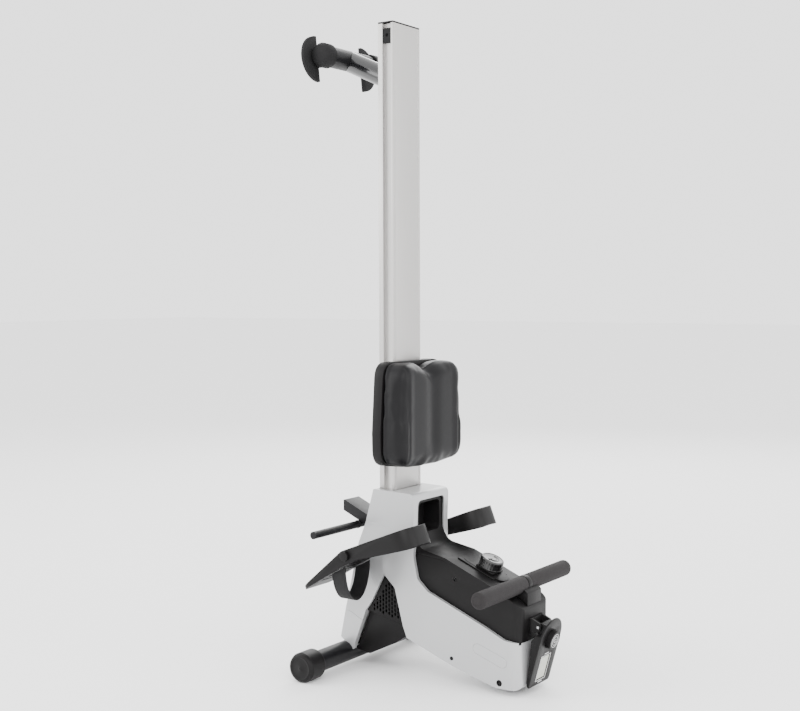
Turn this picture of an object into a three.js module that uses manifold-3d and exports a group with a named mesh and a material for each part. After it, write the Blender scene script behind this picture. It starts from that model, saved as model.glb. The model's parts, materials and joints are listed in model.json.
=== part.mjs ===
// Magnetic rowing machine, tipped up on its front end for storage.
// Millimetres, +Z up. The rail stands along Z; the seat, the foot rests and the handle face +X.
// Every shape is written about the rail's own axis (x = 0, y = 0) with the floor at z = 0, and
// the whole machine is moved along X at the end, so that the origin is the middle of its footprint.
import * as THREE from 'three';
import { mergeVertices } from 'three/addons/utils/BufferGeometryUtils.js';
import Module from 'manifold-3d';

const wasm = await Module();
wasm.setup();

// ---------------------------------------------------------------- driving dimensions
const FOOTPRINT_MID_X = 119.343;
const GAP = 0.3;
const WALL = 3;
const THROUGH = 300;

const RAIL = { halfX: 21.5, halfY: 56, foot: 312, top: 1536, wall: 3 };
const GROOVE = { back: -8, front: 15, depth: 9 };
const GROOVE_MID = (GROOVE.back + GROOVE.front) / 2;
const GROOVE_FLOOR = RAIL.halfY - GROOVE.depth;
const END_CAP = { thick: 4, plug: 20, clearance: 0.5 };

const SHELL_HALF_Y = 75;
const SHELL_TOP = 460;
const SHELL_FRONT_X = 370;
const SHELL_CORNER = 30;
const RIM_HALF_Y = 66;
const KEYHOLE_HALF_Y = 57;

const STABILISER = { x: -114, z: 35, r: 25, halfY: 205, capR: 35, capLength: 60, halfSpan: 250 };
const REAR_FOOT = { x: -150, z: 1471, r: 25, halfY: 96, capR: 29 };
const FOOT_PAD = { x: -181, y: 90, z: 1465, r: 55, thick: 8, tilt: THREE.MathUtils.degToRad(6) };
const REAR_LEG_R = 25;
const REAR_LEG_TILT = THREE.MathUtils.degToRad(24);

const CENTRE_LEG = {
  halfY: 30, endX: -150, endZ: 385, half: 12.5, wall: 2.5, tilt: THREE.MathUtils.degToRad(24),
};
const STOP_BAR = { x: -106.5, z: 340.5, r: 9, halfY: 207 };

const PEDAL_AXLE = { x: -16, z: 302, r: 8, halfY: 204, headR: 11, headLength: 6 };
const PEDAL = {
  inner: 93, outer: 203, toeX: -155, heelX: 184, tilt: THREE.MathUtils.degToRad(21.5),
  wall: 4, rim: 10, heelR: 48, toeR: 30, pockets: 4, pocketX: 31, pocketPitch: 35, pocketWidth: 29,
};
const INSTEP_STRAP = { x0: -60, x1: -20, thick: 2.5, halfY: 49, drop: 87, topZ: 275 };

const SEAT = { bottom: 490, top: 748, halfTop: 127, halfBottom: 140, backX: 38, frontX: 100, skirtX: 13 };
const CARRIAGE = { bottom: 560, top: 690, innerY: 60, outerY: 64, backX: -22, plateX: 24 };
const ROLLER = { r: 11, boreR: 4.2, innerY: 47.8, outerY: 58.6, lowZ: 585, highZ: 665 };
const STOP = { lowTop: ROLLER.lowZ - ROLLER.r - GAP, lowHeight: 18, highBottom: 1490, highHeight: 34 };

const HANDLE = { x: 339, z: 245, barR: 13, gripR: 19, halfY: 204, clipHalfY: 7.5 };
const STRAP = { halfWidth: 12.5, thick: 1.6, clipZ: 213 };
const SPOOL = { x: 308, z: 150, r: 30, pulleyR: 55, hubR: 12, halfY: 17 };
const FLYWHEEL = { x: 195, z: 150, r: 80, y0: -55, y1: -35, pulleyR: 15 };
const PULLEY = { y0: 30, y1: 42 };
const SHAFT_R = 6;
const BELT_THICK = 3;

const WHEEL = { x: 318, z: 30.5, r: 30.5, y0: 9, y1: 29, axleR: 5 };
const KNOB = {
  x: 246.6, z: 263.8, r: 28.5, tilt: THREE.MathUtils.degToRad(22.4), foot: 3.3, base: 6, height: 24,
  flutes: 16, fluteR: 2.2, ledge: 2,
};
const MONITOR = {
  x: 392, z: 158, tilt: THREE.MathUtils.degToRad(15.6), face: 23.3, plate: 4, halfY: 49, foot: -137,
  corner: 8, archZ: -24, pinR: 3,
};
const LCD = { z: -94.7, halfZ: 27.5, halfY: 19 };
const BUTTON = { z: -24.1, r: 22, stemR: 15, height: 14 };

// ---------------------------------------------------------------- materials
const paint = (color, roughness, metalness) => () =>
  new THREE.MeshStandardMaterial({ color, roughness, metalness });
const silverPaint = paint(0xc8c9ca, 0.38, 0.25);
const aluminium = paint(0xc5c3c2, 0.35, 0.85);
const blackPlastic = paint(0x1f1d1e, 0.5, 0);
const glossBlack = paint(0x17171a, 0.25, 0);
const blackSteel = paint(0x232225, 0.4, 0.3);
const steel = paint(0x9a9a9c, 0.35, 0.9);
const castIron = paint(0x4a4a4c, 0.6, 0.7);
const foam = paint(0x3c3838, 0.85, 0);
const vinyl = paint(0x2d2c30, 0.45, 0);
const webbing = paint(0x1b1b1d, 0.9, 0);
const rubber = paint(0x141414, 0.9, 0);
const lcdGrey = paint(0xa9aca0, 0.25, 0);

// ---------------------------------------------------------------- shape helpers
function solid(geometry) {
  const bare = geometry.clone();
  bare.deleteAttribute('normal');
  bare.deleteAttribute('uv');
  const merged = mergeVertices(bare, 1e-4);
  return new wasm.Manifold(new wasm.Mesh({
    numProp: 3,
    vertProperties: new Float32Array(merged.attributes.position.array),
    triVerts: new Uint32Array(merged.index.array),
  }));
}

function toGeometry(manifold) {
  const mesh = manifold.getMesh();
  const geometry = new THREE.BufferGeometry();
  geometry.setAttribute('position', new THREE.BufferAttribute(new Float32Array(mesh.vertProperties), 3));
  geometry.setIndex(new THREE.BufferAttribute(new Uint32Array(mesh.triVerts), 1));
  geometry.computeVertexNormals();
  return geometry;
}

const add = (...pieces) => pieces.reduce((sum, piece) => sum.add(piece));
const cut = (body, ...tools) => tools.reduce((rest, tool) => rest.subtract(tool), body);

// A closed outline through the given corners, each rounded by its own radius (0 keeps it sharp).
function outline(corners) {
  const shape = new THREE.Shape();
  corners.forEach(([x, y, radius = 0], i) => {
    const here = new THREE.Vector2(x, y);
    const before = new THREE.Vector2(...corners.at(i - 1).slice(0, 2)).sub(here);
    const after = new THREE.Vector2(...corners[(i + 1) % corners.length].slice(0, 2)).sub(here);
    const half = Math.abs(before.angle() - after.angle()) / 2;
    const reach = radius === 0 ? 0 : Math.min(
      radius / Math.abs(Math.tan(half)), before.length() * 0.49, after.length() * 0.49);
    const start = here.clone().add(before.setLength(reach));
    const end = here.clone().add(after.setLength(reach));
    if (i === 0) shape.moveTo(start.x, start.y);
    else shape.lineTo(start.x, start.y);
    if (radius > 0) shape.quadraticCurveTo(x, y, end.x, end.y);
  });
  shape.closePath();
  return shape;
}

// The same corners moved inwards by a distance (outwards when it is negative).
function inset(corners, distance) {
  const points = corners.map(([x, y]) => new THREE.Vector2(x, y));
  const turn = THREE.ShapeUtils.area(points) > 0 ? 1 : -1;
  return corners.map(([, , radius = 0], i) => {
    const here = points[i];
    const dirIn = here.clone().sub(points.at(i - 1)).normalize();
    const dirOut = points[(i + 1) % points.length].clone().sub(here).normalize();
    const normalIn = new THREE.Vector2(-dirIn.y, dirIn.x).multiplyScalar(turn);
    const normalOut = new THREE.Vector2(-dirOut.y, dirOut.x).multiplyScalar(turn);
    const bisector = normalIn.clone().add(normalOut);
    const scale = distance / (0.5 * bisector.lengthSq());
    return [here.x + bisector.x * scale, here.y + bisector.y * scale, Math.max(radius - distance, 0)];
  });
}

function extrude(shape, depth, curveSegments) {
  return new THREE.ExtrudeGeometry(shape, { depth, bevelEnabled: false, curveSegments });
}

// Turns a shape drawn in (y, z) and extruded along its own third axis so that it runs along X.
const INTO_X = new THREE.Matrix4().makeBasis(
  new THREE.Vector3(0, 1, 0), new THREE.Vector3(0, 0, 1), new THREE.Vector3(1, 0, 0));

// Extrusions along the three axes. Outlines are (x, z), (x, y) and (y, z).
const alongY = (shape, y0, y1, segments = 5) =>
  solid(extrude(shape, y1 - y0, segments).rotateX(Math.PI / 2).translate(0, y1, 0));
const alongZ = (shape, z0, z1, segments = 5) =>
  solid(extrude(shape, z1 - z0, segments).translate(0, 0, z0));
const alongX = (shape, x0, x1, segments = 5) =>
  solid(extrude(shape, x1 - x0, segments).applyMatrix4(INTO_X).translate(x0, 0, 0));

const box = (x0, x1, y0, y1, z0, z1) => solid(
  new THREE.BoxGeometry(x1 - x0, y1 - y0, z1 - z0).translate((x0 + x1) / 2, (y0 + y1) / 2, (z0 + z1) / 2));
const rodY = (r, y0, y1, x, z, sides = 24) => solid(
  new THREE.CylinderGeometry(r, r, y1 - y0, sides).translate(x, (y0 + y1) / 2, z));
const rodZ = (r, z0, z1, x = 0, y = 0, sides = 24) => solid(
  new THREE.CylinderGeometry(r, r, z1 - z0, sides).rotateX(Math.PI / 2).translate(x, y, (z0 + z1) / 2));
const rodX = (r, x0, x1, y = 0, z = 0, sides = 24) => solid(
  new THREE.CylinderGeometry(r, r, x1 - x0, sides).rotateZ(Math.PI / 2).translate((x0 + x1) / 2, y, z));
const boreY = (r, { x, z }, sides = 24) => rodY(r, -THROUGH, THROUGH, x, z, sides);
const ringY = (r, bore, y0, y1, x, z, sides = 24) =>
  cut(rodY(r, y0, y1, x, z, sides), rodY(bore, y0 - 1, y1 + 1, x, z, sides));

// A turned piece about Y: the profile is a list of [radius, y] and closes on the axis.
const turnedY = (profile, x, z, sides = 24) => solid(
  new THREE.LatheGeometry(profile.map(([r, y]) => new THREE.Vector2(r, y)), sides).translate(x, 0, z));

const machine = new THREE.Group();
machine.position.x = -FOOTPRINT_MID_X;

function place(name, shape, material, parent = machine) {
  const mesh = new THREE.Mesh(toGeometry(shape), material());
  mesh.name = name;
  parent.add(mesh);
}

// Right is -Y and left is +Y, as the rower sits facing down the rail. Mirrored spans keep y0 < y1.
const SIDES = [['right', -1], ['left', 1]];
const span = (side, inner, outer) => (side < 0 ? [-outer, -inner] : [inner, outer]);

// ---------------------------------------------------------------- body outlines, as (x, z)
const BODY = [
  [-27, 440, 4], [90, 436, 16], [87, 357, 60], [88, 285, 40], [98, 238, 20], [126, 213, 25],
  [214, 178], [277, 153], [330, 129, 20], [SHELL_FRONT_X, 125.5], [SHELL_FRONT_X, 18.5, 18],
  [308, 18.5, 12], [254, 32.5], [191, 50.5], [68, 95, 6], [57, 122.5, 10], [34, 209.5, 10],
  [3, 238.5, 4], [-33, 169.5], [-51, 144.5, 10], [-90, 43.5], [-126, 69.5], [-111, 140.5],
  [-71, 307.5, 40], [-50, 357.5, 40],
];
// Upper edge of the silver sides, from the tower down to the front.
const RIM = [[88, 285], [98, 238], [126, 213], [214, 178], [277, 153], [330, 129]];
const lowered = (depth) => RIM.map(([x, z]) => [x - depth * 0.6, z - depth]);
const COVER_LINE = [[168.3, 295], [300, 240.6], [345, 217, 10], [SHELL_FRONT_X, 200, 12]];
// The opening in the silver front, as (y, z): rounded at the top of the tower, wider below it.
const KEYHOLE = [
  [-RIM_HALF_Y, 100], [RIM_HALF_Y, 100], [RIM_HALF_Y, 296, 30], [KEYHOLE_HALF_Y, 345, 30],
  [KEYHOLE_HALF_Y, 419, 14], [-KEYHOLE_HALF_Y, 419, 14], [-KEYHOLE_HALF_Y, 345, 30], [-RIM_HALF_Y, 296, 30],
];
const NOTCH = [[3, 238.5, 6], [34, 209.5], [57, 122.5], [-51, 144.5], [-33, 169.5]];
const NOTCH_CLEARANCE = [
  [-98, 30], [-58, 148], [-38, 174], [0, 246], [6, 246], [40, 214], [63, 126], [78, 98], [60, 80], [0, 30],
];
const LEG_REGION = [[-150, 0], [-150, 150], [-90, 133], [-64, 120], [-45, 119], [-45, 0]];

function planOutline(front, halfY, corner) {
  return outline([[-150, -halfY], [front, -halfY, corner], [front, halfY, corner], [-150, halfY]]);
}

// ---------------------------------------------------------------- frame
const centreLegCorners = (() => {
  const rise = CENTRE_LEG.half / Math.cos(CENTRE_LEG.tilt);
  const innerX = -RAIL.halfX - 0.4;
  const innerZ = CENTRE_LEG.endZ - (innerX - CENTRE_LEG.endX) * Math.tan(CENTRE_LEG.tilt);
  return [
    [CENTRE_LEG.endX, CENTRE_LEG.endZ + rise, 3], [CENTRE_LEG.endX, CENTRE_LEG.endZ - rise, 3],
    [innerX, innerZ - rise], [innerX, innerZ + rise],
  ];
})();

const FRAME_LEG = [[-30, 185], [12, 185], [12, 140], [-78, 44], [-104, 64]];
const FRAME_BEAM = [
  [-34, 190], [12, 190], [70, 150], [150, 112], [284, 64], [284, 42], [254, 42], [191, 60], [75, 103],
  [20, 122], [-34, 125],
];
const BEARING_PLATE = [[150, 90], [275, 48], [322, 140, 8], [318, 166, 8], [186, 166, 8], [174, 140, 8]];
const WHEEL_LUG = [[270, 46], [270, 62], [318, 41, 10], [328, 30.5, 10], [318, 20, 10]];
const LEG_OPEN_END = [[-60, 336], [-60, 343], [-15, 341], [-15, 317]];
const BEAM_Y = [-30, 26];
const FRAME_LEG_HALF_Y = 20;

function buildFrame() {
  const spigot = box(-18, 18, -43.5, 43.5, 310, 420);
  const upright = box(-34, 12, -25, 25, 124, 310);
  const beam = alongY(outline(FRAME_BEAM), ...BEAM_Y);
  const leg = alongY(outline(FRAME_LEG), -FRAME_LEG_HALF_Y, FRAME_LEG_HALF_Y);
  const wheelLug = alongY(outline(WHEEL_LUG), 2 - WHEEL.y0, WHEEL.y0 - 2);
  const plates = [[BEAM_Y[0], -22], [20, BEAM_Y[1]]].map((y) => alongY(outline(BEARING_PLATE), ...y));
  const spoolRoom = rodY(SPOOL.r + 4, -22, 20, SPOOL.x, SPOOL.z);
  const frame = cut(
    add(spigot, upright, beam, leg, wheelLug, ...plates),
    spoolRoom,
    boreY(STABILISER.r + GAP, STABILISER),
    boreY(PEDAL_AXLE.r + GAP, PEDAL_AXLE),
    rodY(SHAFT_R + GAP, -THROUGH, 0, SPOOL.x, SPOOL.z, 16),
    rodY(SPOOL.hubR + GAP, 0, THROUGH, SPOOL.x, SPOOL.z, 16),
    boreY(SHAFT_R + GAP, FLYWHEEL, 16),
    boreY(WHEEL.axleR + GAP, WHEEL, 16),
  );
  place('main_frame', frame, blackSteel);

  const s = STABILISER;
  place('front_stabiliser_tube', ringY(s.r, s.r - 2, -s.halfY, s.halfY, s.x, s.z, 24), blackSteel);
  for (const [name, side] of SIDES) {
    const profile = [
      [0, s.halfSpan], [s.capR - 4, s.halfSpan], [s.capR, s.halfSpan - 4],
      [s.capR, s.halfSpan - s.capLength + 6], [s.capR - 6, s.halfSpan - s.capLength],
      [0, s.halfSpan - s.capLength],
    ];
    const turned = profile.map(([r, y]) => [r, side * y]);
    const cap = turnedY(side > 0 ? turned.reverse() : turned, s.x, s.z, 24);
    const socket = rodY(s.r + GAP, ...span(side, s.halfSpan - s.capLength - 1, s.halfY + GAP), s.x, s.z, 24);
    place(`${name}_stabiliser_cap`, cut(cap, socket), blackPlastic);
  }

  const legBore = [CENTRE_LEG.wall - CENTRE_LEG.halfY, CENTRE_LEG.halfY - CENTRE_LEG.wall];
  const legTube = cut(
    alongY(outline(centreLegCorners), -CENTRE_LEG.halfY, CENTRE_LEG.halfY),
    alongY(outline(inset(centreLegCorners, CENTRE_LEG.wall)), ...legBore),
    alongY(outline(LEG_OPEN_END), ...legBore),
  );
  place('centre_leg', legTube, blackSteel);
  const stopBar = rodY(STOP_BAR.r, -STOP_BAR.halfY, STOP_BAR.halfY, STOP_BAR.x, STOP_BAR.z);
  place('pedal_stop_bar', stopBar, blackSteel);
}

// ---------------------------------------------------------------- rail and rear foot
function buildRail() {
  const { halfX, halfY, foot, top, wall } = RAIL;
  const section = cut(
    box(-halfX, halfX, -halfY, halfY, foot, top),
    box(GROOVE.back, GROOVE.front, GROOVE_FLOOR, halfY + 1, foot - 1, top + 1),
    box(GROOVE.back, GROOVE.front, -halfY - 1, -GROOVE_FLOOR, foot - 1, top + 1),
    box(wall - halfX, halfX - wall, wall - GROOVE_FLOOR, GROOVE_FLOOR - wall, foot - 1, top + 1),
  );
  place('rail', section, aluminium);
  const plugX = halfX - wall - END_CAP.clearance;
  const plugY = GROOVE_FLOOR - wall - END_CAP.clearance;
  const cap = add(
    box(-halfX, halfX, -halfY, halfY, top + GAP, top + END_CAP.thick),
    box(-plugX, plugX, -plugY, plugY, top - END_CAP.plug, top + END_CAP.thick / 2),
  );
  place('rail_end_cap', cap, blackPlastic);
  for (const [name, side] of SIDES) {
    const [y0, y1] = span(side, GROOVE_FLOOR + 0.4, halfY - 1);
    const stop = (z0, z1) => box(GROOVE.back + 0.5, GROOVE.front - 0.5, y0, y1, z0, z1);
    place(`${name}_lower_stop`, stop(STOP.lowTop - STOP.lowHeight, STOP.lowTop), rubber);
    place(`${name}_upper_stop`, cut(
      stop(STOP.highBottom, STOP.highBottom + STOP.highHeight),
      rodY(4, ...span(side, halfY - 5, halfY + 1), GROOVE_MID, STOP.highBottom + 18, 12)), rubber);
  }

  const f = REAR_FOOT;
  const reach = 200;
  const leg = cut(
    solid(new THREE.CylinderGeometry(REAR_LEG_R, REAR_LEG_R, reach, 28)
      .rotateZ(Math.PI / 2).translate(reach / 2, 0, 0).rotateY(REAR_LEG_TILT).translate(f.x, 0, f.z)),
    boreY(f.r + GAP, f, 28),
    box(-halfX - 0.4, 200, -60, 60, 1200, 1552),
    box(-300, f.x, -60, 60, 1400, 1552),
  );
  place('rear_leg', leg, glossBlack);
  place('rear_foot_tube', ringY(f.r, f.r - 2, -f.halfY, f.halfY, f.x, f.z, 28), blackSteel);
  for (const [name, side] of SIDES) {
    const profile = [
      [0, 122], [12, 121], [22, 117], [f.capR, 106], [f.capR, 82], [f.r + 2 * GAP, 82],
      [f.r + 2 * GAP, f.halfY + GAP], [0, f.halfY + GAP],
    ];
    const turned = profile.map(([r, y]) => [r, side * y]);
    const cap = turnedY(side > 0 ? turned.reverse() : turned, f.x, f.z, 20);
    const sweep = side < 0 ? [Math.PI / 2, Math.PI * 1.5] : [-Math.PI / 2, Math.PI / 2];
    const p = FOOT_PAD;
    const disc = new THREE.Shape().absarc(side * p.y, 0, p.r, ...sweep).closePath();
    const sole = extrude(disc, p.thick, 10).applyMatrix4(INTO_X);
    const pad = solid(sole.rotateY(-p.tilt).translate(p.x, 0, p.z));
    const web = box(p.x + 3, f.x, ...span(side, p.y - 4, p.y + 8), p.z - 20, p.z + 20);
    const socket = rodY(f.r + 2 * GAP, -f.halfY - GAP, f.halfY + GAP, f.x, f.z, 28);
    place(`${name}_rear_foot`, cut(add(cap, pad, web), socket), rubber);
  }
}

// ---------------------------------------------------------------- covers
function buildCovers() {
  const hollow = alongY(outline(inset(BODY, WALL)), WALL - SHELL_HALF_Y, SHELL_HALF_Y - WALL)
    .intersect(alongZ(
      planOutline(SHELL_FRONT_X - WALL, SHELL_HALF_Y - WALL, SHELL_CORNER - WALL), 0, SHELL_TOP));
  const opening = alongY(outline([
    [60, 419], [120, 419], [420, 419], [420, 126], [SHELL_FRONT_X - WALL - 0.1, 126],
    [SHELL_FRONT_X - WALL - 0.1, 121], ...lowered(8).reverse(), [60, 285],
  ]), -RIM_HALF_Y, RIM_HALF_Y).intersect(alongX(outline(KEYHOLE), 0, 450));
  const shell = cut(
    alongY(outline(BODY), -SHELL_HALF_Y, SHELL_HALF_Y)
      .intersect(alongZ(planOutline(SHELL_FRONT_X, SHELL_HALF_Y, SHELL_CORNER), 0, SHELL_TOP)),
    hollow,
    opening,
    box(-24, 24, -58.5, 58.5, 425, SHELL_TOP),
    alongY(outline(NOTCH_CLEARANCE), -60.5, 60.5),
    alongY(outline(inset(FRAME_LEG, -1.5)), -FRAME_LEG_HALF_Y - 2, FRAME_LEG_HALF_Y + 2),
    alongY(outline(inset(centreLegCorners, -1)), -CENTRE_LEG.halfY - 1, CENTRE_LEG.halfY + 1),
    boreY(STABILISER.r + GAP, STABILISER),
    boreY(PEDAL_AXLE.r + 3, PEDAL_AXLE),
    boreY(WHEEL.axleR + 2.5, WHEEL),
    box(WHEEL.x - 32, WHEEL.x + 32, -32, 32, 0, 40),
  );
  const legRegion = alongY(outline(LEG_REGION), -90, 90);
  const seamRegion = alongY(outline(inset(LEG_REGION, -0.6)), -90, 90);
  for (const [name, side] of SIDES) {
    const half = box(-200, 400, ...span(side, GAP / 2, 90), 0, SHELL_TOP);
    const mine = shell.intersect(half);
    place(`${name}_side_shell`, mine.subtract(seamRegion), silverPaint);
    place(`${name}_leg_cover`, mine.intersect(legRegion), silverPaint);
    const vent = alongY(outline(inset(NOTCH, 0.6)), ...span(side, 66, 69));
    place(`${name}_vent_grille`, vent, blackPlastic);
  }

  const under = [[-87, 42], [-49, 141], [56, 119.5], [66, 100], [20, 70], [-50, 36]];
  const underShell = cut(
    alongY(outline(under), -60, 60),
    alongY(outline(inset(under, WALL)), WALL - 60, 60 - WALL),
    alongY(outline([[-70, 110], [-46, 150], [60, 150], [50, 112], [-40, 110]]), WALL - 60, 60 - WALL),
    alongY(outline(inset(FRAME_LEG, -1.5)), -FRAME_LEG_HALF_Y - 2, FRAME_LEG_HALF_Y + 2),
    alongY(outline(inset(FRAME_BEAM, -1.5)), BEAM_Y[0] - 2, BEAM_Y[1] + 2),
    boreY(STABILISER.r + 2 * GAP, STABILISER),
  );
  place('under_cover', underShell, blackPlastic);

  const halfY = RIM_HALF_Y - GAP;
  const lining = (front, top, z0, z1, back) => alongX(outline([
    [-top, z0, 14], [top, z0, 14], [top, z1, 14], [-top, z1, 14]]), back, front);
  const scoop = [
    [83, 418.6], [83, 340, 30], [97, 309, 30], [168, 295], [167.8, 290.2], [82, 298.4], [78, 330],
    [78, 418.6],
  ];
  const panel = cut(
    add(
      alongY(outline(scoop), -halfY, halfY, 6).intersect(alongX(outline(inset(KEYHOLE, GAP)), 0, 450)),
      lining(80, 48, 336, 414, 34),
    ),
    lining(100, 45, 339, 411, 37),
  );
  place('pocket_panel', panel, blackPlastic);

  const cover = [
    [89, 297], [167.9, 289.6], ...COVER_LINE, [SHELL_FRONT_X, 126.2], [SHELL_FRONT_X - WALL - 0.5, 126.2],
    [SHELL_FRONT_X - WALL - 0.5, 124], ...lowered(4).reverse(),
  ];
  const coverRoom = alongY(outline([
    [93, 293.5], [167, 286.6], [171, 291], [300, 237.4], [344, 214.3], [367, 198.6], [367, 118], [330, 100],
    [200, 150], [110, 180], [84, 235],
  ]), 2.5 - halfY, halfY - 2.5)
    .intersect(alongZ(planOutline(SHELL_FRONT_X - 2.5, halfY - 2.5, 24), 0, SHELL_TOP));
  const island = solid(new THREE.ExtrudeGeometry(
    outline([[-66, -24, 24], [52, -24, 24], [52, 24, 24], [-66, 24, 24]]),
    { depth: 12, bevelEnabled: false, curveSegments: 6 })
    .translate(0, 0, -9).rotateY(KNOB.tilt).translate(KNOB.x, 0, KNOB.z));
  const topCover = cut(
    add(
      alongY(outline(cover), -halfY, halfY)
        .intersect(alongZ(planOutline(SHELL_FRONT_X, halfY, 24), 0, SHELL_TOP))
        .intersect(alongX(outline(inset(KEYHOLE, GAP)), 0, 450)),
      island,
    ),
    coverRoom,
    box(HANDLE.x - 5, HANDLE.x + 5, -15, 15, 190, 260),
    rodY(4, ...span(-1, halfY - 4, halfY + 2), 196, 248, 12),
  );
  place('top_cover', topCover, blackPlastic);

  const saddle = [
    [303, 239.9], [311, 250, 3], [322, 249, 3], [356, 240, 3], [367, 232, 4], [367, 203.2], [345, 217.6],
  ];
  const cradle = cut(
    alongY(outline(saddle), -32, 32),
    boreY(HANDLE.gripR + 2 * GAP, HANDLE, 32),
    box(HANDLE.x - 22, HANDLE.x + 10, -16, 16, 200, 270),
    alongY(outline([[290, 200], [290, 246], [300, 241.1], [345, 217.5], [371, 199.9], [371, 190]]), -60, 60),
  );
  place('handle_cradle', cradle, blackPlastic);
}

// ---------------------------------------------------------------- foot rests
// Side profile about the pedal axle: x runs to the heel, z away from the tread.
const PEDAL_PROFILE = [
  [-155, -38, 3], [-7.5, 13.7, 25], [184, 14.5, 6], [184, -33, 8], [101, -25, 40], [30, -17, 30], [-8, -19.5],
  [-152, -44, 2],
];
const TREAD_SLOPE = 0.168;

function buildPedals() {
  const a = PEDAL_AXLE;
  const axle = add(
    rodY(a.r, -a.halfY, a.halfY, a.x, a.z),
    ...SIDES.map(([, side]) => rodY(a.headR, ...span(side, a.halfY, a.halfY + a.headLength), a.x, a.z)),
  );
  place('pedal_axle', axle, steel);
  for (const [name, side] of SIDES) {
    const pivot = new THREE.Group();
    pivot.position.set(a.x, 0, a.z);
    pivot.rotation.y = -PEDAL.tilt;
    machine.add(pivot);
    const [y0, y1] = span(side, PEDAL.inner, PEDAL.outer);
    const { toeX, heelX, toeR, heelR, wall, rim } = PEDAL;
    const plan = outline([[toeX, y0, toeR], [heelX, y0, heelR], [heelX, y1, heelR], [toeX, y1, toeR]]);
    const cup = outline([
      [-40, y0 + wall], [heelX - wall, y0 + wall, heelR],
      [heelX - wall, y1 - wall, heelR], [-40, y1 - wall]]);
    const tread = (x) => -44 + (x + 152) * TREAD_SLOPE;
    const cupRoom = alongZ(cup, -60, 30, 8).intersect(
      alongY(outline([[-8, tread(-8)], [180, tread(180) - 2], [180, -60], [-8, -60]]), y0, y1));
    const pockets = Array.from({ length: PEDAL.pockets }, (_, i) => {
      const x = PEDAL.pocketX + i * PEDAL.pocketPitch;
      return box(x, x + PEDAL.pocketWidth, y0 + rim, y1 - rim, tread(x) + wall, 60);
    });
    const footplate = cut(
      alongY(outline(PEDAL_PROFILE), y0, y1).intersect(alongZ(plan, -60, 30, 8)),
      cupRoom,
      ...pockets,
      boreY(a.r + GAP, { x: 0, z: 0 }),
    );
    place(`${name}_footplate`, footplate, blackPlastic, pivot);

    const s = INSTEP_STRAP;
    const midY = (y0 + y1) / 2;
    const band = new THREE.Shape().absellipse(midY, s.topZ, s.halfY, s.drop, Math.PI, Math.PI * 2);
    band.absellipse(midY, s.topZ, s.halfY - s.thick, s.drop - s.thick, Math.PI * 2, Math.PI, true);
    const belowTread = alongY(outline([
      [s.x0 - 5, 251], [s.x1 + 5, 277.8], [s.x1 + 5, 150], [s.x0 - 5, 150]]), y0, y1);
    place(`${name}_instep_strap`, alongX(band, s.x0, s.x1, 12).intersect(belowTread), webbing);
  }
}

// ---------------------------------------------------------------- seat
function seatOutline(margin) {
  const { bottom, top, halfTop, halfBottom } = SEAT;
  return outline(inset([
    [-halfTop, top, 42], [halfTop, top, 42], [halfBottom, bottom + 90, 60], [halfBottom - 2, bottom + 14, 44],
    [40, bottom, 60], [-40, bottom, 60], [2 - halfBottom, bottom + 14, 44], [-halfBottom, bottom + 90, 60],
  ], margin));
}

function buildSeat() {
  const crown = 14;
  const crowned = new THREE.ExtrudeGeometry(seatOutline(crown), {
    depth: SEAT.frontX - SEAT.backX - crown, bevelEnabled: true, bevelThickness: crown, bevelSize: crown,
    bevelSegments: 3, curveSegments: 5,
  });
  const cushion = solid(crowned.applyMatrix4(INTO_X).translate(SEAT.backX, 0, 0))
    .intersect(box(SEAT.backX, 200, -200, 200, 400, 900));
  place('seat_cushion', cushion, vinyl);
  const c = CARRIAGE;
  const pan = cut(
    alongX(seatOutline(3), SEAT.skirtX, SEAT.backX - GAP),
    box(0, c.plateX + WALL + GAP, -c.outerY - 4, c.outerY + 4, 400, 900),
  );
  place('seat_pan', pan, blackPlastic);

  const heights = [['low', ROLLER.lowZ], ['high', ROLLER.highZ]];
  const bolts = SIDES.flatMap(([, side]) => heights.map(([, z]) =>
    rodY(3.8, ...span(side, ROLLER.innerY + 0.4, c.innerY + 1), GROOVE_MID, z, 16)));
  const carriage = add(
    box(c.plateX, c.plateX + WALL, -c.outerY, c.outerY, c.bottom, c.top),
    ...SIDES.map(([, side]) =>
      box(c.backX, c.plateX + 1, ...span(side, c.innerY, c.outerY), c.bottom, c.top)),
    ...bolts,
  );
  place('seat_carriage', carriage, steel);
  for (const [name, side] of SIDES) {
    for (const [level, z] of heights) {
      const reach = span(side, ROLLER.innerY, ROLLER.outerY);
      const roller = ringY(ROLLER.r, ROLLER.boreR, ...reach, GROOVE_MID, z);
      place(`${name}_${level}_roller`, roller, blackPlastic);
    }
  }
}

// ---------------------------------------------------------------- handle and drive
function buildHandle() {
  const h = HANDLE;
  place('handle_bar', rodY(h.barR, -h.halfY + 4, h.halfY - 4, h.x, h.z), blackSteel);
  for (const [name, side] of SIDES) {
    const sleeve = cut(
      rodY(h.gripR, ...span(side, h.clipHalfY + GAP, h.halfY), h.x, h.z, 32),
      rodY(h.barR + GAP, ...span(side, 0, h.halfY - 4 + GAP), h.x, h.z),
    );
    place(`${name}_grip`, sleeve, foam);
  }
  const clip = cut(
    add(
      rodY(h.gripR + 0.4, -h.clipHalfY, h.clipHalfY, h.x, h.z, 32),
      box(h.x - 5, h.x + 5, -h.clipHalfY, h.clipHalfY, 224, 235),
      box(h.x - 4, h.x + 4, -14, 14, STRAP.clipZ, 224.5),
    ),
    boreY(h.barR + GAP, h),
  );
  place('strap_clip', clip, blackPlastic);
  place('pull_strap', box(h.x - STRAP.thick / 2, h.x + STRAP.thick / 2, -STRAP.halfWidth, STRAP.halfWidth,
    SPOOL.z, STRAP.clipZ - GAP), webbing);
}

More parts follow.
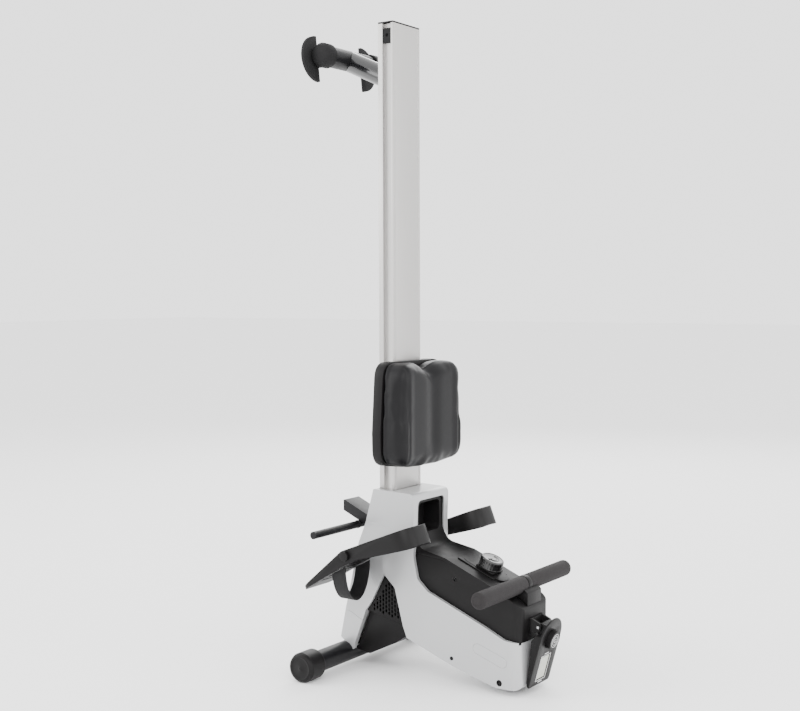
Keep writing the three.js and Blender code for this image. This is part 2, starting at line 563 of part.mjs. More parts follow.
function buildDrive() {
  const spool = cut(
    add(
      rodY(SPOOL.r - 0.2, -SPOOL.halfY, SPOOL.halfY, SPOOL.x, SPOOL.z),
      rodY(SPOOL.hubR, SPOOL.halfY - 1, PULLEY.y0 + 1, SPOOL.x, SPOOL.z, 16),
      rodY(SPOOL.pulleyR, PULLEY.y0, PULLEY.y1, SPOOL.x, SPOOL.z, 28),
    ),
    boreY(SHAFT_R + GAP, SPOOL),
  );
  place('strap_spool', spool, blackPlastic);
  place('drive_axle', rodY(SHAFT_R, -33, 46, SPOOL.x, SPOOL.z), steel);

  const wheel = cut(
    add(
      rodY(FLYWHEEL.r, FLYWHEEL.y0, FLYWHEEL.y1, FLYWHEEL.x, FLYWHEEL.z, 32),
      rodY(12, FLYWHEEL.y1 - 1, -31, FLYWHEEL.x, FLYWHEEL.z, 16),
    ),
    ringY(62, 24, FLYWHEEL.y0 - 1, FLYWHEEL.y0 + 6, FLYWHEEL.x, FLYWHEEL.z, 20),
  );
  const shaft = rodY(SHAFT_R, FLYWHEEL.y0 - 6, PULLEY.y1 + 4, FLYWHEEL.x, FLYWHEEL.z, 12);
  const pinion = rodY(FLYWHEEL.pulleyR, PULLEY.y0, PULLEY.y1, FLYWHEEL.x, FLYWHEEL.z, 16);
  place('flywheel', add(wheel, shaft, pinion), castIron);

  const beltPath = (grow) => {
    const big = SPOOL.pulleyR + grow;
    const small = FLYWHEEL.pulleyR + grow;
    const lean = Math.acos((big - small) / (SPOOL.x - FLYWHEEL.x));
    return new THREE.Shape()
      .absarc(SPOOL.x, SPOOL.z, big, lean - Math.PI, Math.PI - lean)
      .absarc(FLYWHEEL.x, FLYWHEEL.z, small, Math.PI - lean, Math.PI + lean)
      .closePath();
  };
  place('drive_belt', cut(
    alongY(beltPath(BELT_THICK), PULLEY.y0 + 2, PULLEY.y1 - 2, 10),
    alongY(beltPath(0.8), PULLEY.y0, PULLEY.y1, 10)), rubber);

  const yoke = (y0, y1) => alongY(outline([
    [FLYWHEEL.x - 34, FLYWHEEL.z + 60], [FLYWHEEL.x + 28, FLYWHEEL.z + 66],
    [FLYWHEEL.x + 28, FLYWHEEL.z + 88], [FLYWHEEL.x - 34, FLYWHEEL.z + 86]]), y0, y1);
  const bracket = cut(
    add(yoke(-62, -57), yoke(-33, -29), yoke(-62, -29).intersect(box(100, 300, -70, 0, 234, 300))),
    rodY(FLYWHEEL.r + 2, -70, 0, FLYWHEEL.x, FLYWHEEL.z, 40).intersect(box(0, 400, -57, -33, 0, 400)),
  );
  place('magnet_bracket', bracket, steel);
}

// ---------------------------------------------------------------- controls and wheels
function buildControls() {
  const knobSeat = new THREE.Group();
  knobSeat.position.set(KNOB.x, 0, KNOB.z);
  knobSeat.rotation.y = KNOB.tilt;
  machine.add(knobSeat);
  const k = KNOB;
  const knobFoot = k.foot + k.base + GAP;
  const flutes = Array.from({ length: k.flutes }, (_, i) => {
    const angle = (i / k.flutes) * Math.PI * 2;
    return rodZ(k.fluteR, knobFoot + k.ledge, 60, k.r * Math.cos(angle), k.r * Math.sin(angle), 6);
  });
  place('knob_base', box(-24, 24, -24, 24, k.foot, k.foot + k.base), blackPlastic, knobSeat);
  const knob = cut(rodZ(k.r, knobFoot, knobFoot + k.height, 0, 0, 32), ...flutes);
  place('tension_knob', knob, blackPlastic, knobSeat);

  const m = MONITOR;
  const lugRoot = SHELL_FRONT_X + 3;
  const lug = [[lugRoot, 140], [m.x + 2, 148, 6], [m.x + 8, m.z, 8], [m.x + 2, 167, 6], [lugRoot, 176]];
  const bracket = cut(
    add(
      box(SHELL_FRONT_X + GAP, lugRoot + 1, -30, 30, 140, 176),
      ...SIDES.map(([, side]) => alongY(outline(lug), ...span(side, 22, 28))),
    ),
    boreY(m.pinR + GAP, m, 16),
  );
  place('monitor_bracket', bracket, blackPlastic);
  place('monitor_pin', rodY(m.pinR, -31, 31, m.x, m.z, 16), steel);

  const head = new THREE.Group();
  head.position.set(m.x, 0, m.z);
  head.rotation.y = m.tilt;
  machine.add(head);
  const plateBack = m.face - m.plate;
  const front = plateBack - GAP;
  const shellSide = [[front, -14], [front, -134], [16, -134], [7, -70], [0, -30, 4], [6, -14]];
  const knuckleSide = [[front, 9], [front, -20], [2, -20], [-7, -8, 5], [-8, 0, 8], [0, 9, 6]];
  const lcdWindow = (x0, x1) => box(x0, x1, -LCD.halfY, LCD.halfY, LCD.z - LCD.halfZ, LCD.z + LCD.halfZ);
  const housing = cut(
    add(alongY(outline(shellSide), 3 - m.halfY, m.halfY - 3), alongY(outline(knuckleSide), -21.5, 21.5)),
    boreY(m.pinR + GAP, { x: 0, z: 0 }, 16),
    lcdWindow(plateBack - 12, plateBack + 1),
    rodX(BUTTON.stemR + 1, plateBack - 10, plateBack + 1, 0, BUTTON.z),
  );
  place('monitor_housing', housing, blackPlastic, head);
  const plate = new THREE.Shape()
    .moveTo(m.corner - m.halfY, m.foot)
    .lineTo(m.halfY - m.corner, m.foot)
    .quadraticCurveTo(m.halfY, m.foot, m.halfY, m.foot + m.corner)
    .lineTo(m.halfY, m.archZ)
    .absarc(0, m.archZ, m.halfY, 0, Math.PI)
    .lineTo(-m.halfY, m.foot + m.corner)
    .quadraticCurveTo(-m.halfY, m.foot, m.corner - m.halfY, m.foot);
  const bezel = cut(
    alongX(plate, plateBack, m.face, 12),
    lcdWindow(plateBack - 1, m.face + 1),
    rodX(BUTTON.r + 0.5, plateBack - 1, m.face + 1, 0, BUTTON.z, 32),
  );
  place('monitor_bezel', bezel, blackPlastic, head);
  place('lcd', box(plateBack - 2, m.face - 1, GAP - LCD.halfY, LCD.halfY - GAP,
    LCD.z - LCD.halfZ + GAP, LCD.z + LCD.halfZ - GAP), lcdGrey, head);
  const button = add(
    rodX(BUTTON.r, m.face - 2, m.face - 2 + BUTTON.height, 0, BUTTON.z, 32),
    rodX(BUTTON.stemR, plateBack - 6, m.face - 1, 0, BUTTON.z),
  );
  place('mode_button', button, blackPlastic, head);

  place('wheel_axle', rodY(WHEEL.axleR, -71, 71, WHEEL.x, WHEEL.z, 16), steel);
  for (const [name, side] of SIDES) {
    place(`${name}_transport_wheel`,
      ringY(WHEEL.r, WHEEL.axleR + GAP, ...span(side, WHEEL.y0, WHEEL.y1), WHEEL.x, WHEEL.z, 32), rubber);
  }
}

buildFrame();
buildRail();
buildCovers();
buildPedals();
buildSeat();
buildHandle();
buildDrive();
buildControls();

const group = new THREE.Group();
group.add(machine);
export default group;
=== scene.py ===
# %% [markdown]
# # A rowing machine stored on end
# The machine stands on its nose: the rail points up, the rear foot is at the top and the magnetic
# drive with its silver shells is at the bottom. Every size below comes from the CAD frame, which
# holds the working parts. This lesson gives that frame its looks: smooth moulded shells, a padded
# seat, foam grips, woven straps and a finish for each material.

# %% Load the frame
import json
import math
import bpy
import bmesh
from mathutils import Euler, Matrix, Vector


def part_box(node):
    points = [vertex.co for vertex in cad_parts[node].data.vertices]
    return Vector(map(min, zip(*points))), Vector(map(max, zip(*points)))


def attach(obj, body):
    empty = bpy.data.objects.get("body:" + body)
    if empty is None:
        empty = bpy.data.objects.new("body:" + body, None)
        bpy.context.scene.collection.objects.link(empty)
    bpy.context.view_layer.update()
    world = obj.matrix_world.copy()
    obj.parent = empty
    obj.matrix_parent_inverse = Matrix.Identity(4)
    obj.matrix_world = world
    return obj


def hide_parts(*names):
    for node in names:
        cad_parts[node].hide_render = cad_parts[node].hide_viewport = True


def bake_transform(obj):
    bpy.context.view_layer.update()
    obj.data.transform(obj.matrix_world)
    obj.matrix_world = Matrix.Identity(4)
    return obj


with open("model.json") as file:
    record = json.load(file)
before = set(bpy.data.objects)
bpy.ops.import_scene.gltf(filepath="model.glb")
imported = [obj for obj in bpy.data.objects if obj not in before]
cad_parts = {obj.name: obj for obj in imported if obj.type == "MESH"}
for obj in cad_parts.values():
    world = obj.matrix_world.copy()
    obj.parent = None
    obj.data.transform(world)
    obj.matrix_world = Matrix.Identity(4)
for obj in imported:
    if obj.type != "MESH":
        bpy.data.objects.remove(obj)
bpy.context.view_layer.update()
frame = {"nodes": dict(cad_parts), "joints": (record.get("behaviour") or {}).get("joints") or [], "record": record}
nodes = frame["nodes"]
BODY_OF = {node: body for body, names in frame["record"]["behaviour"]["bodies"].items() for node in names}
MM = 0.001
SIDES = {"right": -1, "left": 1}

# %% [markdown]
# The camera comes first. It looks level across the machine from its front right, from about chest
# height, with a slightly long lens, so the upright rail stays nearly parallel.

# %% Camera
CAMERA_PLACE = Vector((1.6082, -2.5136, 0.9115))
CAMERA_TURN = math.radians(34.5)
CAMERA_DIP = math.radians(2.93)
CAMERA_ROLL = math.radians(-0.2)


def add_camera():
    data = bpy.data.cameras.new("camera")
    data.lens = 57.15
    data.sensor_width = 36
    camera = bpy.data.objects.new("camera", data)
    camera.location = CAMERA_PLACE
    aim = Euler((math.pi / 2 - CAMERA_DIP, 0, CAMERA_TURN)).to_matrix()
    camera.rotation_euler = (aim @ Matrix.Rotation(CAMERA_ROLL, 3, "Z")).to_euler()
    bpy.context.scene.collection.objects.link(camera)
    bpy.context.scene.camera = camera
    return camera


print(add_camera().name, "at", tuple(CAMERA_PLACE))

# %% [markdown]
# A studio sweep is only a very large pale floor with big soft lamps round it. Large lamps give the
# long soft highlights that show off a moulded shell, and a bright world fills the shadows.

# %% Studio
FLOOR_SIZE = 60
LAMPS = {
    "key": ((2.6, -3.4, 3.2), 3.0, 170),
    "side": ((-3.2, -2.4, 2.2), 2.6, 100),
    "back": ((-1.5, 3.4, 3.0), 3.0, 110),
    "front": ((4.2, 0.6, 1.6), 2.2, 70),
}
AIM = Vector((0, 0, 0.6))


def add_floor():
    bpy.ops.mesh.primitive_plane_add(size=FLOOR_SIZE)
    floor = bpy.context.object
    floor.name = "floor"
    paper = bpy.data.materials.new("studio_paper")
    paper.use_nodes = True
    shader = paper.node_tree.nodes["Principled BSDF"]
    shader.inputs["Base Color"].default_value = (0.93, 0.93, 0.93, 1)
    shader.inputs["Roughness"].default_value = 0.9
    floor.data.materials.append(paper)


def add_lamps():
    for name, (place, size, power) in LAMPS.items():
        data = bpy.data.lights.new(name, "AREA")
        data.size = size
        data.energy = power
        lamp = bpy.data.objects.new(name, data)
        lamp.location = place
        lamp.rotation_euler = (AIM - Vector(place)).to_track_quat("-Z", "Y").to_euler()
        bpy.context.scene.collection.objects.link(lamp)


def light_world():
    world = bpy.data.worlds.new("studio")
    world.use_nodes = True
    background = world.node_tree.nodes["Background"]
    background.inputs["Color"].default_value = (1, 1, 1, 1)
    background.inputs["Strength"].default_value = 2.3
    bpy.context.scene.world = world


add_floor()
add_lamps()
light_world()
print(len(LAMPS), "soft lamps over a floor", FLOOR_SIZE, "m across")

# %% [markdown]
# A finish is a small network of shader nodes. Writing its sums as Python sums keeps it readable, so
# `Value` wraps one socket and its operators add Math nodes, and `Finish.node` makes any other node.

# %% Shader helpers
class Value:
    """One shader socket that can be used in sums."""

    def __init__(self, finish, socket):
        self.finish = finish
        self.socket = socket

    def math(self, operation, first, second):
        return self.finish.node("ShaderNodeMath", {"operation": operation}, {0: first, 1: second})

    def __add__(self, other):
        return self.math("ADD", self, other)

    def __mul__(self, other):
        return self.math("MULTIPLY", self, other)

    __radd__ = __add__
    __rmul__ = __mul__


class Finish:
    """A material with its Principled shader, built node by node."""

    def __init__(self, name, **constants):
        self.material = bpy.data.materials.new(name)
        self.material.use_nodes = True
        self.tree = self.material.node_tree
        self.shader = self.tree.nodes["Principled BSDF"]
        self.set(**constants)

    def node(self, kind, settings=None, inputs=None, output=0):
        made = self.tree.nodes.new(kind)
        for key, value in (settings or {}).items():
            setattr(made, key, value)
        for key, value in (inputs or {}).items():
            self.feed(made.inputs[key], value)
        return Value(self, made.outputs[output])

    def feed(self, socket, value):
        if isinstance(value, Value):
            self.tree.links.new(value.socket, socket)
        else:
            socket.default_value = value

    def set(self, **values):
        for name, value in values.items():
            self.feed(self.shader.inputs[name.replace("_", " ")], value)

    def place(self, scale=(1, 1, 1)):
        """Object coordinates in metres, stretched by scale."""
        coordinates = self.node("ShaderNodeTexCoord", output="Object")
        return self.node("ShaderNodeMapping", inputs={"Vector": coordinates, "Scale": scale})

    def noise(self, scale, detail=3, stretch=(1, 1, 1)):
        inputs = {"Vector": self.place(stretch), "Scale": scale, "Detail": detail}
        return self.node("ShaderNodeTexNoise", inputs=inputs)

    def cells(self, scale, feature="F1"):
        inputs = {"Vector": self.place(), "Scale": scale}
        return self.node("ShaderNodeTexVoronoi", {"feature": feature}, inputs)

    def between(self, amount, dark, light):
        settings = {"data_type": "RGBA"}
        inputs = {0: amount, 6: (*dark, 1), 7: (*light, 1)}
        return self.node("ShaderNodeMix", settings, inputs, output=2)

    def bump(self, height, distance, strength=1):
        inputs = {"Height": height, "Distance": distance, "Strength": strength}
        self.set(Normal=self.node("ShaderNodeBump", inputs=inputs))


print("helpers ready")

# %% [markdown]
# Each finish varies at two scales. A slow change in roughness stands for handling and polish, and a
# fine grain stands for the paint flake, the moulding texture or the pores that the eye expects.

# %% Painted and metal finishes
def silver_paint():
    finish = Finish("silver_paint", Metallic=0.35, Coat_Weight=0.35, Coat_Roughness=0.12)
    flake = finish.noise(5200, 1)
    finish.set(Base_Color=finish.between(flake, (0.34, 0.343, 0.348), (0.45, 0.454, 0.459)))
    finish.set(Roughness=0.30 + 0.10 * finish.noise(14, 2))
    finish.bump(finish.noise(520, 2), 0.00006, 0.5)
    return finish.material


def aluminium():
    finish = Finish("aluminium", Metallic=0.88)
    lines = finish.noise(1, 3, (2600, 2600, 9))
    finish.set(Base_Color=finish.between(lines, (0.42, 0.41, 0.40), (0.52, 0.51, 0.50)))
    finish.set(Roughness=0.32 + 0.14 * finish.noise(6, 2) + 0.05 * lines)
    finish.bump(lines, 0.00004, 0.5)
    return finish.material


def powder_coat():
    finish = Finish("black_powder_coat", Specular_IOR_Level=0.18)
    patches = finish.noise(9, 2)
    finish.set(Base_Color=finish.between(patches, (0.0035, 0.0035, 0.0042), (0.0075, 0.0072, 0.0082)))
    finish.set(Roughness=0.34 + 0.14 * finish.noise(40, 2))
    finish.bump(finish.noise(1500, 2), 0.00008, 0.6)
    return finish.material


def gloss_paint():
    finish = Finish("gloss_black_paint", Coat_Weight=0.7, Coat_Roughness=0.06)
    finish.set(Base_Color=finish.between(finish.noise(12, 2), (0.003, 0.003, 0.0037), (0.006, 0.006, 0.007)))
    finish.set(Roughness=0.16 + 0.12 * finish.noise(25, 2))
    finish.bump(finish.noise(700, 1), 0.00003, 0.4)
    return finish.material


def zinc_steel():
    finish = Finish("zinc_steel", Metallic=0.95)
    turning = finish.noise(60, 3)
    finish.set(Base_Color=finish.between(turning, (0.33, 0.33, 0.34), (0.52, 0.52, 0.53)))
    finish.set(Roughness=0.26 + 0.22 * turning)
    finish.bump(finish.noise(1900, 1), 0.00003, 0.5)
    return finish.material


def cast_iron():
    finish = Finish("cast_iron", Metallic=0.7)
    grain = finish.noise(340, 5)
    finish.set(Base_Color=finish.between(grain, (0.05, 0.05, 0.052), (0.13, 0.13, 0.135)))
    finish.set(Roughness=0.5 + 0.2 * grain)
    finish.bump(grain, 0.0003, 0.6)
    return finish.material


METALS = {"silver": silver_paint(), "aluminium": aluminium(), "powder": powder_coat(),
          "gloss": gloss_paint(), "zinc": zinc_steel(), "iron": cast_iron()}
print(sorted(METALS))

# %% Plastics, rubber, foam and vinyl
def moulded_plastic():
    finish = Finish("moulded_black_plastic", Specular_IOR_Level=0.15)
    finish.set(Base_Color=finish.between(finish.noise(7, 3), (0.003, 0.0028, 0.003), (0.0065, 0.006, 0.0062)))
    finish.set(Roughness=0.36 + 0.16 * finish.noise(30, 3))
    finish.bump(finish.cells(1500), 0.00007, 0.5)
    return finish.material


def gloss_plastic():
    finish = Finish("polished_black_plastic", Coat_Weight=0.3, Coat_Roughness=0.1)
    finish.set(Base_Color=finish.between(finish.noise(9, 2), (0.003, 0.003, 0.0032), (0.006, 0.0057, 0.006)))
    finish.set(Roughness=0.22 + 0.14 * finish.noise(35, 3))
    finish.bump(finish.noise(900, 2), 0.00003, 0.4)
    return finish.material


def rubber():
    finish = Finish("black_rubber", Specular_IOR_Level=0.18)
    patches = finish.noise(18, 3)
    finish.set(Base_Color=finish.between(patches, (0.0045, 0.0045, 0.005), (0.010, 0.0097, 0.010)))
    finish.set(Roughness=0.62 + 0.22 * finish.noise(60, 3))
    finish.bump(finish.noise(1200, 3), 0.00012, 0.7)
    return finish.material


def foam():
    finish = Finish("closed_cell_foam", Specular_IOR_Level=0.2)
    pores = finish.cells(950)
    finish.set(Base_Color=finish.between(pores, (0.010, 0.009, 0.0095), (0.021, 0.019, 0.0195)))
    finish.set(Roughness=0.72 + 0.14 * finish.noise(50, 3))
    finish.bump(pores, 0.00028, 0.55)
    return finish.material


def vinyl():
    finish = Finish("seat_vinyl", Specular_IOR_Level=0.16)
    creases = finish.cells(620, "DISTANCE_TO_EDGE")
    blotches = finish.noise(11, 3)
    finish.set(Base_Color=finish.between(blotches, (0.0020, 0.0019, 0.0024), (0.0045, 0.0043, 0.0050)))
    finish.set(Roughness=0.34 + 0.12 * blotches + 0.06 * finish.noise(90, 2))
    finish.bump(creases, 0.00022, 0.5)
    return finish.material


def webbing():
    """Woven tape: warp ribs run along U, and weft threads cross them along V, both in metres."""
    finish = Finish("woven_webbing", Specular_IOR_Level=0.2, Sheen_Weight=0.05)
    uv = finish.node("ShaderNodeTexCoord", output="UV")
    threads = [
        finish.node(
            "ShaderNodeTexWave", {"bands_direction": way},
            {"Vector": uv, "Scale": pitch, "Distortion": 0.4})
        for way, pitch in (("Y", 150), ("X", 95))]
    weave = threads[0] * threads[1]
    finish.set(Base_Color=finish.between(weave, (0.003, 0.003, 0.0034), (0.010, 0.0096, 0.0104)))
    finish.set(Roughness=0.62 + 0.2 * finish.noise(40, 3))
    finish.bump(weave, 0.0003, 0.6)
    return finish.material


def display_glass():
    finish = Finish("display_glass", Coat_Weight=0.8, Coat_Roughness=0.05)
    finish.set(Base_Color=finish.between(finish.noise(30, 1), (0.33, 0.34, 0.28), (0.38, 0.39, 0.33)))
    finish.set(Roughness=0.22 + 0.06 * finish.noise(60, 2))
    return finish.material


def white_print():
    finish = Finish("white_print", Specular_IOR_Level=0.4)
    finish.set(Base_Color=finish.between(finish.noise(400, 2), (0.62, 0.62, 0.62), (0.74, 0.74, 0.74)))
    finish.set(Roughness=0.45 + 0.1 * finish.noise(80, 2))
    return finish.material


PLASTICS = {"plastic": moulded_plastic(), "polished": gloss_plastic(), "rubber": rubber(), "foam": foam(),
            "vinyl": vinyl(), "webbing": webbing(), "glass": display_glass(), "print": white_print()}
LOOKS = {**METALS, **PLASTICS}
print(sorted(PLASTICS))

# %% [markdown]
# The CAD nodes that already have the right shape keep it and only get a finish. The record says
# which slot each one is made of, so one table from slot to finish covers them all.

# %% Finishes on the CAD nodes
SLOT_LOOK = {
    "silver_paint": "silver", "aluminium": "aluminium", "black_plastic": "plastic", "gloss_black": "gloss",
    "black_steel": "powder", "steel": "zinc", "cast_iron": "iron", "foam": "foam", "vinyl": "vinyl",
    "webbing": "webbing", "rubber": "rubber", "lcd": "glass",
}
SLOT_OF = {part["node"]: part["material_slot"] for part in frame["record"]["subparts"]}
for node_name, node in nodes.items():
    node.data.materials.clear()
    node.data.materials.append(LOOKS[SLOT_LOOK[SLOT_OF[node_name]]])
print("finished", len(nodes), "CAD nodes")

# %% [markdown]
# Modelling goes as it does by hand: an operator acts on whatever is selected, so each helper first
# deselects everything, then works on one object. `settle` is the last step of every piece: it gives
# the piece its finish, hangs it on the moving body that carries it and hides the CAD node it stands for.

# %% Modelling helpers
SMOOTH_ANGLE = math.radians(35)


def activate(piece):
    bpy.ops.object.select_all(action="DESELECT")
    piece.select_set(True)
    bpy.context.view_layer.objects.active = piece


def modify(piece, kind, **settings):
    activate(piece)
    modifier = piece.modifiers.new(kind.lower(), kind)
    for key, value in settings.items():
        setattr(modifier, key, value)
    bpy.ops.object.modifier_apply(modifier=modifier.name)


def edit(piece, *steps):
    """Runs each step in edit mode, with all of the piece selected before it."""
    activate(piece)
    bpy.ops.object.mode_set(mode="EDIT")
    for step in steps:
        bpy.ops.mesh.select_all(action="SELECT")
        step()
    bpy.ops.object.mode_set(mode="OBJECT")


def copy_node(node, name):
    """A merged copy of a CAD node, with its flat areas joined into single faces."""
    piece = bpy.data.objects.new(name, nodes[node].data.copy())
    bpy.context.scene.collection.objects.link(piece)
    edit(
        piece,
        lambda: bpy.ops.mesh.remove_doubles(threshold=0.00002),
        lambda: bpy.ops.mesh.dissolve_limited(angle_limit=math.radians(0.5)),
    )
    return piece


def round_edges(piece, width, segments=3, angle=SMOOTH_ANGLE):
    modify(piece, "BEVEL", width=width * MM, segments=segments, limit_method="ANGLE", angle_limit=angle,
           miter_outer="MITER_ARC", use_clamp_overlap=True)


def smooth(piece):
    activate(piece)
    bpy.ops.object.shade_smooth_by_angle(angle=SMOOTH_ANGLE)


def settle(piece, like, look=None, stands_for=True):
    """Finishes a piece made for a CAD node, or for a detail that rides beside it."""
    smooth(piece)
    piece.data.materials.clear()
    piece.data.materials.append(LOOKS[look or SLOT_LOOK[SLOT_OF[like]]])
    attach(piece, BODY_OF[like])
    if stands_for:
        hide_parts(like)
    return piece


def apply_place(piece):
    activate(piece)
    bpy.ops.object.transform_apply(location=True, rotation=True, scale=True)


def turned(name, profile, origin, axis=(0, 0, 1), sides=72):
    """A turned piece: a disc extruded and resized along its axis, one step for each (radius, height)."""
    bpy.ops.object.select_all(action="DESELECT")
    (radius, height), *steps = profile
    bpy.ops.mesh.primitive_circle_add(
        vertices=sides, radius=radius * MM, fill_type="NGON", location=(0, 0, height * MM))
    piece = bpy.context.object
    piece.name = name
    apply_place(piece)
    bpy.ops.object.mode_set(mode="EDIT")
    bpy.ops.mesh.select_all(action="SELECT")
    for next_radius, next_height in steps:
        rise = (0, 0, (next_height - height) * MM)
        bpy.ops.mesh.extrude_region_move(TRANSFORM_OT_translate={"value": rise})
        grow = next_radius / radius
        bpy.ops.transform.resize(value=(grow, grow, 1), center_override=(0, 0, 0))
        radius, height = next_radius, next_height
    bpy.ops.mesh.select_all(action="SELECT")
    bpy.ops.mesh.normals_make_consistent(inside=False)
    bpy.ops.object.mode_set(mode="OBJECT")
    piece.rotation_euler = Vector(axis).to_track_quat("Z", "X").to_euler()
    piece.location = origin
    apply_place(piece)
    return piece


def pick_faces(piece, wanted):
    """In edit mode, selects only the faces whose centre and normal pass the test."""
    mesh = bmesh.from_edit_mesh(piece.data)
    bpy.ops.mesh.select_all(action="DESELECT")
    bpy.ops.mesh.select_mode(type="FACE")
    mesh = bmesh.from_edit_mesh(piece.data)
    for face in mesh.faces:
        face.select_set(wanted(face.calc_center_median(), face.normal))
    mesh.select_flush(True)
    bmesh.update_edit_mesh(piece.data)


def slice_at(piece, axis, places):
    """Cuts new edges round a piece where it crosses each plane."""
    for place in places:
        point = [0, 0, 0]
        normal = [0, 0, 0]
        point[axis] = place
        normal[axis] = 1
        bpy.ops.mesh.select_all(action="SELECT")
        bpy.ops.mesh.bisect(plane_co=point, plane_no=normal)


def block(name, low, high):
    bpy.ops.object.select_all(action="DESELECT")
    bpy.ops.mesh.primitive_cube_add(size=1, location=(Vector(low) + Vector(high)) / 2)
    piece = bpy.context.object
    piece.name = name
    piece.scale = Vector(high) - Vector(low)
    apply_place(piece)
    return piece


def join(first, *others):
    if not others:
        return first
    activate(first)
    for other in others:
        other.select_set(True)
    bpy.ops.object.join()
    return first


def middle(node):
    low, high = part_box(node)
    return (low + high) / 2


print("modelling helpers ready")

# %% [markdown]
# Moulded and folded parts have the right outline in the frame, but perfectly sharp edges. Real
# edges are rounded and catch a thin line of light, so each is copied, merged and bevelled by the
# radius that its process leaves: large on a moulding, small on sheet metal.

# %% Parts that only need rounded edges
EDGE_RADIUS = {
    "rail_end_cap": 0.8, "right_lower_stop": 1.5, "left_lower_stop": 1.5, "right_upper_stop": 1.5,
    "left_upper_stop": 1.5, "centre_leg": 2, "under_cover": 2, "pocket_panel": 2, "top_cover": 3.5,
    "handle_cradle": 2.5, "right_footplate": 1.6, "left_footplate": 1.6, "seat_pan": 2.5,
    "right_side_shell": 4, "left_side_shell": 4, "right_leg_cover": 3, "left_leg_cover": 3,
    "knob_base": 2, "monitor_bracket": 1.5, "monitor_housing": 2, "monitor_bezel": 1.2, "strap_clip": 0.8,
    "right_rear_foot": 2, "left_rear_foot": 2, "right_transport_wheel": 3,
    "left_transport_wheel": 3, "seat_carriage": 0.8, "pedal_axle": 1.5, "wheel_axle": 1,
    "right_vent_grille": 0.4, "left_vent_grille": 0.4,
}
DARK_ENDS = {"pedal_axle": "plastic", "wheel_axle": "plastic"}
MADE = {}
for node_name, radius in EDGE_RADIUS.items():
    piece = copy_node(node_name, f"{node_name}_moulding")
    round_edges(piece, radius)
    MADE[node_name] = settle(piece, node_name, DARK_ENDS.get(node_name))
print("rounded", len(MADE), "parts")

# %% [markdown]
# The rail is an aluminium extrusion: one section all the way up. A block is sliced into strips
# along its length, then whole strips are pushed in: a deep groove in each side, where the rollers
# run, and fine lines beside the edges of both broad faces, which keep a long flat face from
# looking wavy.

# %% Rail
GROOVE_DEPTH = 9
LINE_DEPTH = 0.9
LINE_INSETS = ((3.5, 5.0), (8.0, 9.5))
LIP = 1.6


def push_strips(piece, wanted, move):
    """Pushes the picked faces along move, with new walls behind them."""
    pick_faces(piece, wanted)
    bpy.ops.mesh.extrude_region_move(TRANSFORM_OT_translate={"value": move})


def add_rail():
    low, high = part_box("rail")
    stop_low, stop_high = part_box("right_lower_stop")
    back, front = stop_low.x - 0.5 * MM, stop_high.x + 0.5 * MM
    lines = [inset * MM for pair in LINE_INSETS for inset in pair]
    rail = block("rail_extrusion", low, high)
    activate(rail)
    bpy.ops.object.mode_set(mode="EDIT")
    slice_at(rail, 0, [back - LIP * MM, back, front, front + LIP * MM])
    slice_at(rail, 1, [low.y + inset for inset in lines] + [high.y - inset for inset in lines])
    for side in (-1, 1):
        edge = side * high.y
        push_strips(
            rail, lambda c, n: n.y * side > 0.9 and back < c.x < front,
            (0, -side * GROOVE_DEPTH * MM, 0))
        for first, last in LINE_INSETS:
            inner, outer = abs(edge) - last * MM, abs(edge) - first * MM
            push_strips(
                rail, lambda c, n: n.x > 0.9 and inner < side * c.y < outer, (-LINE_DEPTH * MM, 0, 0))
            push_strips(
                rail, lambda c, n: n.x < -0.9 and inner < side * c.y < outer, (LINE_DEPTH * MM, 0, 0))
    bpy.ops.mesh.select_all(action="SELECT")
    bpy.ops.mesh.normals_make_consistent(inside=False)
    bpy.ops.object.mode_set(mode="OBJECT")
    round_edges(rail, 0.55, 2)
    return settle(rail, "rail")


print("rail", len(add_rail().data.polygons), "faces")

# %% [markdown]
# Round parts are turned, as on a lathe: the profile is a short list of radius and height in
# millimetres, and the numbers that place it come from the CAD node. Caps get moulded ribs by
# picking every other side face and pushing it out a little.

# %% Caps, tubes and feet
CAP_RIB = 0.75
CAP_SIDES = 72


def side_axis(side):
    return (0, side, 0)


def add_cap_ribs(piece, centre, span_y):
    """Pushes out every other lengthwise strip of a round piece that lies along Y."""
    def wanted(c, n):
        strip = int(round((math.atan2(c.z - centre.z, c.x - centre.x) / (2 * math.pi) + 1) * CAP_SIDES - 0.5))
        return span_y[0] < c.y < span_y[1] and abs(n.y) < 0.1 and strip % 2 == 0
    activate(piece)
    bpy.ops.object.mode_set(mode="EDIT")
    pick_faces(piece, wanted)
    bpy.ops.mesh.extrude_region_shrink_fatten(TRANSFORM_OT_shrink_fatten={"value": CAP_RIB * MM})
    bpy.ops.object.mode_set(mode="OBJECT")


def add_stabiliser_cap(side_name, side):
    node = f"{side_name}_stabiliser_cap"
    low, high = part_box(node)
    centre = (low + high) / 2
    length = (high.y - low.y) / MM
    radius = (high.x - low.x) / 2 / MM
    inner = low.y if side > 0 else high.y
    profile = [
        (radius - 7, 0), (radius - 5.5, 0.8), (radius - 1.2, 6), (radius - 0.8, 7.5),
        (radius - 0.8, length - 9),
        (radius - 1.4, length - 6), (radius - 3, length - 2.6), (radius - 6, length - 0.9),
        (radius - 9, length - 0.4), (radius - 9.6, length - 1.6), (radius - 14, length - 1.8),
        (4.2, length - 1.2), (3.6, length - 0.2), (2.0, length - 0.1), (0.3, length),
    ]
    cap = turned(f"{side_name}_stabiliser_end", profile, (centre.x, inner, centre.z), side_axis(side))
    span = sorted((inner + side * 7.6 * MM, inner + side * (length - 9.2) * MM))
    add_cap_ribs(cap, centre, span)
    round_edges(cap, 0.25, 1)
    return settle(cap, node)


